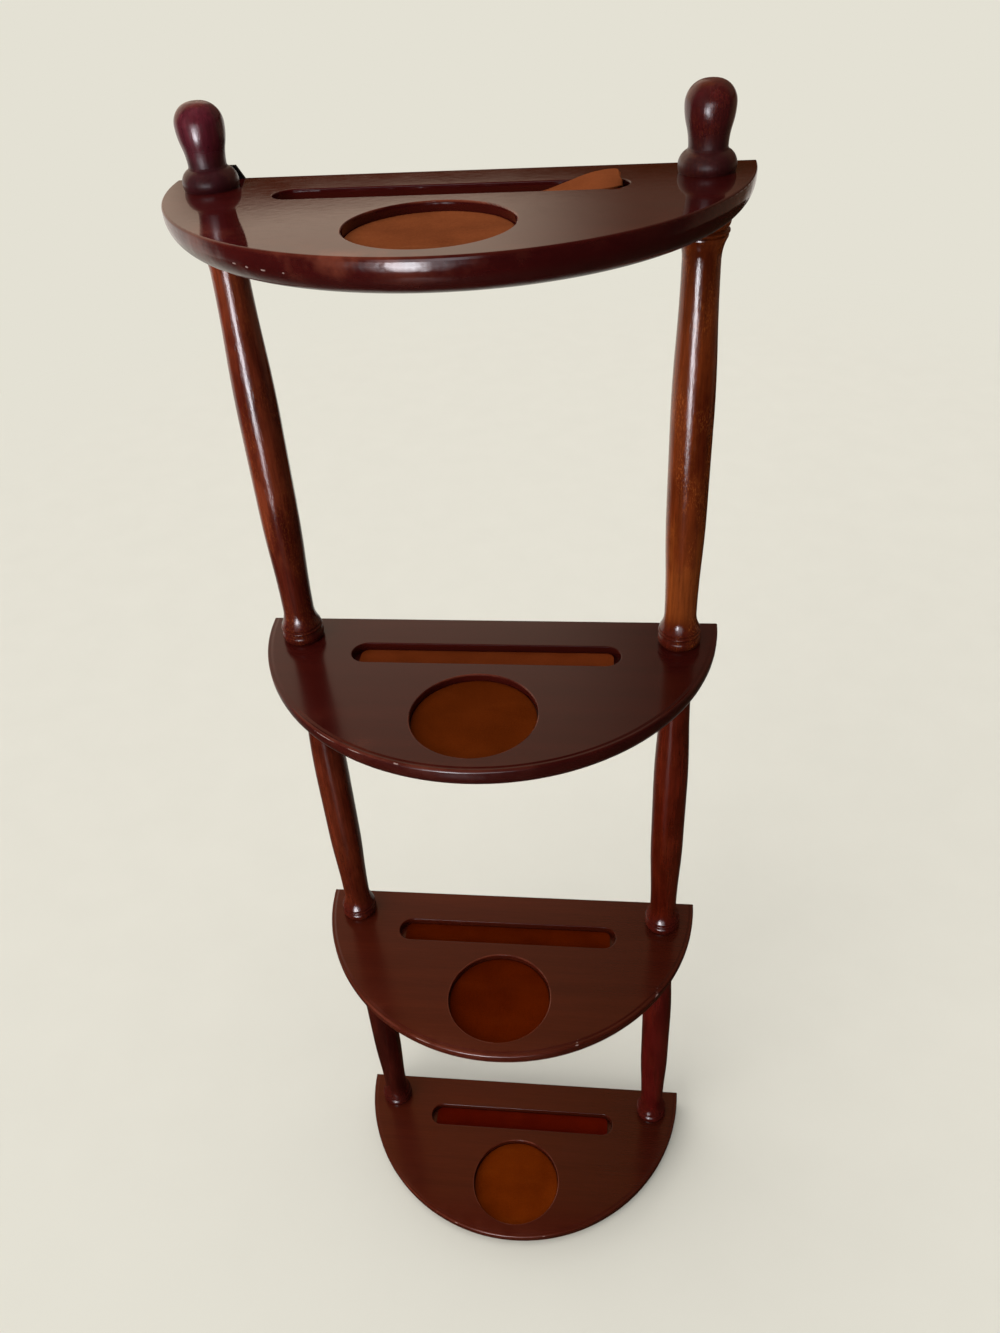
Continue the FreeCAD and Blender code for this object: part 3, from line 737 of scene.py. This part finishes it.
def mirrored_floor(finish, x, y):
    """What mirrored light sees of the floor, at a place in mm from the middle of the floor."""
    from_shelf = y + FLOOR_CENTRE[1] * MM
    aside = (x - from_shelf * STREAK_LEAN).size()
    streak = aside.between(STREAK_HALF_MM, STREAK_HALF_MM * STREAK_CORE) * from_shelf.between(*STREAK_MM)
    near = finish.mix(streak, FLOOR_BROWN, STREAK_LIGHT)
    return finish.mix(from_shelf.between(*PALE_MM) * x.between(*PALE_SIDES_MM), near, BACKDROP)


def floor_finish():
    finish = Finish("pale_floor")
    place = finish.place()
    x, y, _ = finish.parts(place)
    mottle = finish.cloud(place, 0.02, 3.0, 0.5)
    finish.set(Base_Color=finish.mix(mottle, *FLOOR_SHADES), Roughness=0.9, Specular_IOR_Level=0.1)
    mirrored = finish.rays("Glossy")
    faded = finish.length(x, y).between(*FADE_MM) * finish.rays("Camera", "Transmission")
    plain = finish.mix(mirrored, BACKDROP, mirrored_floor(finish, x, y))
    finish.cover(faded.larger(mirrored), finish.node("ShaderNodeEmission", {}, {"Color": plain}))
    return finish.material


print("the floor fades from", FADE_MM[0], "to", FADE_MM[1], "mm")

# %% Floor
floor_mesh = bpy.data.meshes.new("floor")
floor_net = bmesh.new()
bmesh.ops.create_circle(floor_net, cap_ends=True, segments=96, radius=FLOOR_RADIUS)
floor_net.to_mesh(floor_mesh)
floor_net.free()
floor = bpy.data.objects.new("floor", floor_mesh)
floor.location = FLOOR_CENTRE
bpy.context.scene.collection.objects.link(floor)
floor_mesh.materials.append(floor_finish())
print("floor", 2 * FLOOR_RADIUS, "m across")

# %% [markdown]
# ## Light
#
# Lacquer shows what it mirrors, and a plain pale world all round would lay a grey veil over the dark wood.
# So for mirrored light the world is pale only behind the shelf, which lays a soft sheen on the tops of the
# boards, and dim in front of it, which keeps the edges and spindles dark. The pale side has a shaded band
# low down, a shaded part at the right and warmer light high up, and the dim side has a low window. For
# everything else the world is a soft light that is brighter from the left, and for the camera it is the
# plain backdrop.

# %% Light all round
LEFT_LIGHT, RIGHT_LIGHT = (1.3, 1.285, 1.26), (0.2, 0.2, 0.2)
BACK_PALE, BACK_HIGH, BACK_RIGHT = colour(236, 212, 188), colour(184, 118, 66), colour(120, 92, 74)
BACK_LOW, BACK_SHADED = colour(240, 232, 222), colour(70, 36, 4)
FRONT_DIM, WINDOW = colour(36, 24, 24), (2.8, 2.8, 3.0)


def mirrored_behind(net, right, up):
    """What the lacquer mirrors behind the shelf, by how far a direction points to the right and up."""
    behind = net.mix(up.between(0.5, 0.88), BACK_PALE, BACK_HIGH)
    behind = net.mix((right - up * 0.2).between(-0.21, -0.03), behind, BACK_RIGHT)
    behind = net.mix(up.between(0.06, 0.0) * right.between(0.6, 0.2), behind, BACK_LOW)
    shaded = up.between(0.04, 0.10) * up.between(0.230, 0.212) * right.between(-0.40, -0.33)
    return net.mix(shaded, behind, BACK_SHADED)


def mirrored_in_front(net, right, back, up):
    """What the lacquer mirrors in front of the shelf: dim, with a low window."""
    window = up.between(-0.25, -0.1) * up.between(0.3, 0.02)
    window *= right.between(0.3, 0.05) * right.between(-0.5, -0.25)
    return net.mix(window * back.between(-0.2, -0.5), FRONT_DIM, WINDOW)


def light_all_round():
    world = bpy.data.worlds.new("pale_behind_dim_in_front")
    world.use_nodes = True
    net = Net(world.node_tree)
    net.tree.nodes.clear()
    right, back, up = net.parts(net.node("ShaderNodeTexCoord", {}, {}, "Generated"))
    in_front, behind = mirrored_in_front(net, right, back, up), mirrored_behind(net, right, up)
    mirrored = net.mix(back.between(0.0, 0.4), in_front, behind)
    soft = net.mix(right.between(-0.9, 0.4), LEFT_LIGHT, RIGHT_LIGHT)
    light = net.mix(net.rays("Glossy"), soft, mirrored)
    light = net.mix(net.rays("Camera", "Transmission"), light, BACKDROP)
    background = net.node("ShaderNodeBackground", {}, {"Color": light})
    net.node("ShaderNodeOutputWorld", {}, {"Surface": background})
    return world


bpy.context.scene.world = light_all_round()
print("world", bpy.context.scene.world.name)

# %% [markdown]
# ## Lamps
#
# Two wide suns light the wood: one from the ceiling, so that each board shades the one below, and one from
# the front left. The gleams are kept apart from them. One low lamp in front, to the left, draws the long
# gleam on the spindles, with a dimmer one below it and a wide weak one round it. They are only mirrored and
# light nothing, and they fade towards their edges, because a lamp with a sharp outline would show as a box
# in the lacquer.

# %% Ways to hang a lamp
SHELF_FOOT, SHELF_MIDDLE = (0.0, 0.0, 0.0), (0.0, 0.0, 0.36)
LAMP_TINT, SUN_TINT = (0.94, 0.94, 1.0), (1.0, 0.98, 0.95)
SUN_WIDTH = math.radians(50.0)
# The power of a square metre of lamp that looks as bright as the white of the picture
WHITE_WATTS = 4.0


def put_lamp(data, place, aim, mirrored):
    made = bpy.data.objects.new(data.name, data)
    bpy.context.scene.collection.objects.link(made)
    made.location = place
    made.rotation_mode = "QUATERNION"
    made.rotation_quaternion = (Vector(aim) - Vector(place)).to_track_quat("-Z", "Y")
    made.visible_camera = False
    made.visible_glossy = mirrored
    made.visible_diffuse = not mirrored


def panel(name, place, width, height, brightness, core):
    """A flat lamp that fades from its core to its edge. Its brightness is that of the core, where 1 is the
    white of the picture."""
    data = bpy.data.lights.new(name, "AREA")
    data.shape = "RECTANGLE"
    data.size, data.size_y = width, height
    data.energy = WHITE_WATTS * brightness * width * height
    data.use_nodes = True
    net = Net(data.node_tree)
    across, upward, _ = net.parts(net.node("ShaderNodeNewGeometry", {}, {}, "Parametric"))
    fade = net.length(across * 2.0 - 1.0, upward * 2.0 - 1.0).between(1.0, core)
    net.feed(net.tree.nodes["Emission"].inputs["Color"], net.scaled(LAMP_TINT, fade))
    put_lamp(data, place, SHELF_MIDDLE, True)
    print(name, "panel,", round(data.energy, 2), "W")


def wide_sun(name, place, energy):
    """A sun that shines from a place towards the foot of the shelf."""
    data = bpy.data.lights.new(name, "SUN")
    data.energy = energy
    data.angle = SUN_WIDTH
    data.color = SUN_TINT
    put_lamp(data, place, SHELF_FOOT, False)
    print(name, "sun,", energy)


print("suns are", round(math.degrees(SUN_WIDTH)), "degrees wide")

# %% Lamps
panel("gleam", (-0.28, -1.16, 0.24), 0.48, 0.42, 14.5, 0.5)
panel("gleam_below", (-0.28, -1.16, 0.01), 0.48, 0.26, 9.0, 0.4)
panel("gleam_round", (-0.28, -1.22, 0.20), 1.30, 0.80, 2.6, 0.1)
wide_sun("ceiling", (0.0, -0.15, 2.0), 1.5)
wide_sun("window", (-0.75, -1.0, 0.35), 2.2)

# %% [markdown]
# ## Camera
#
# The picture is taken from close by, a little to the right and just above the top board, looking down. So the
# lower boards look much smaller than the top one. The focal length is given in pixels of a picture
# 1333 pixels high, and a 36 mm sensor along that side turns it into millimetres.

# %% Camera
PICTURE_HIGH = 1333.0
FOCAL_PIXELS = 1051.96
EYE = Vector((0.065845, -0.3821, 0.747917))
AHEAD = Vector((-0.112891, 0.788175, -0.605009)).normalized()
RIGHT = Vector((0.993448, 0.100448, -0.054512)).normalized()

camera_data = bpy.data.cameras.new("camera")
camera_data.sensor_width = 36.0
camera_data.lens = FOCAL_PIXELS / PICTURE_HIGH * camera_data.sensor_width
camera_data.clip_start = 0.01
camera = bpy.data.objects.new("camera", camera_data)
bpy.context.scene.collection.objects.link(camera)
up = RIGHT.cross(AHEAD)
turn = Matrix((RIGHT, up, -AHEAD)).transposed()
camera.matrix_world = Matrix.Translation(EYE) @ turn.to_4x4()
bpy.context.scene.camera = camera
bpy.context.scene.view_settings.view_transform = "Standard"
print("lens", round(camera_data.lens, 2), "mm")
